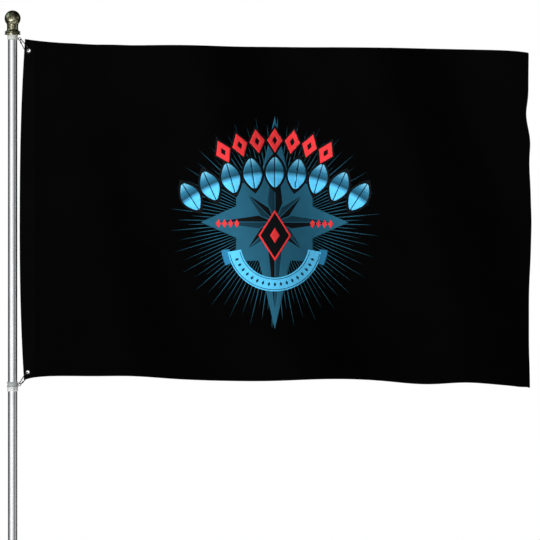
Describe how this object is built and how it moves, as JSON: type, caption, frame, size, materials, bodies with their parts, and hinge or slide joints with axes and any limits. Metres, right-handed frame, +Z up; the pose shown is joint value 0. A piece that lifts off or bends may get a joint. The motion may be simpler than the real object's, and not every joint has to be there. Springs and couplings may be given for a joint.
{
  "type": "flag on a sectional pole",
  "caption": "Rectangular cloth flag on a straight sectional aluminium pole with a ball finial, hung from two spinning rings by wire snap clips.",
  "frame": {"origin": "middle of the pole's foot", "axes": "+Z up the pole, +X the way the flag flies, -Y towards the viewer of the printed front"},
  "size_m": [1.4208, 0.117, 1.8851],
  "materials": {
    "pole_aluminium": "brushed along the pole, clear anodised",
    "antique_gold": "polished antique gold",
    "ring_white": "moulded, satin",
    "ring_grey": "moulded, glossy",
    "plug_dark": "moulded",
    "plug_white": "moulded",
    "stud_steel": "zinc plated",
    "clip_steel": "darkened nickel plate",
    "screw_black": "black oxide",
    "cloth_black": "woven polyester, dye printed",
    "heading_black": "woven heading band",
    "grommet_black": "black nickel"
  },
  "bodies": {
    "pole_bottom": {"tube_bottom": "pole_aluminium", "foot_plug": "plug_dark"},
    "pole_upper": {"tube_second": "pole_aluminium", "tube_third": "pole_aluminium", "tube_top": "pole_aluminium", "spigot_lower": "pole_aluminium", "spigot_middle": "pole_aluminium", "spigot_upper": "pole_aluminium", "top_plug": "plug_white", "top_retainer": "ring_grey"},
    "finial_carrier": {"finial_washer": "plug_white"},
    "finial": {"finial_ball": "antique_gold", "finial_base": "antique_gold", "finial_stud": "stud_steel"},
    "flag_hoist": {"top_ring": "ring_white", "top_ring_eye": "clip_steel", "top_clip_body": "clip_steel", "top_clip_rivet": "clip_steel", "heading_band": "heading_black", "top_grommet": "grommet_black", "top_grommet_washer": "grommet_black", "lower_grommet": "grommet_black", "lower_grommet_washer": "grommet_black", "lower_ring": "ring_grey", "lower_ring_eye": "clip_steel", "lower_clip_body": "clip_steel", "lower_clip_rivet": "clip_steel"},
    "flag_cloth": {"flag_panel": "cloth_black"},
    "top_gate": {"top_clip_gate": "clip_steel"},
    "lower_gate": {"lower_clip_gate": "clip_steel"},
    "collar": {"stop_collar": "ring_white"},
    "grub_screw": {"set_screw": "screw_black"}
  },
  "joints": [
    {"name": "upper_pole_pull", "type": "slide", "parent": "pole_bottom", "child": "pole_upper", "axis": [0, 0, 1], "range_m": [0, 0.055]},
    {"name": "finial_lift", "type": "slide", "parent": "pole_upper", "child": "finial_carrier", "axis": [0, 0, 1], "range_m": [0, 0.015]},
    {"name": "finial_turn", "type": "hinge", "parent": "finial_carrier", "child": "finial", "pos_m": [0, 0, 1.83], "axis": [0, 0, 1], "range_deg": [0, 4320]},
    {"name": "flag_spin", "type": "hinge", "parent": "pole_upper", "child": "flag_hoist", "pos_m": [0, 0, 1.8125], "axis": [0, 0, 1], "continuous": true},
    {"name": "flag_swing", "type": "hinge", "parent": "flag_hoist", "child": "flag_cloth", "pos_m": [0.0625, 0, 1.34], "axis": [0, 0, 1], "range_deg": [-70, 70]},
    {"name": "top_gate_open", "type": "hinge", "parent": "flag_hoist", "child": "top_gate", "pos_m": [0.02193, 0.00384, 1.79921], "axis": [-0.6037, -0.6428, -0.4716], "range_deg": [0, 20], "stiffness_Nm_per_rad": 0.01, "springref_deg": -11.46},
    {"name": "lower_gate_open", "type": "hinge", "parent": "flag_hoist", "child": "lower_gate", "pos_m": [0.02643, 0.00384, 0.88029], "axis": [0.6388, -0.6428, -0.4228], "range_deg": [0, 20], "stiffness_Nm_per_rad": 0.01, "springref_deg": -11.46},
    {"name": "collar_slide", "type": "slide", "parent": "pole_upper", "child": "collar", "axis": [0, 0, -1], "range_m": [0, 0.35]},
    {"name": "screw_turn", "type": "hinge", "parent": "collar", "child": "grub_screw", "pos_m": [0, 0, 0.86235], "axis": [0.3371, -0.9415, 0], "range_deg": [0, 360]}
  ],
  "couplings": [
    {"joint": "finial_lift", "follows": "finial_turn", "m_per_rad": 0.00019894}
  ]
}
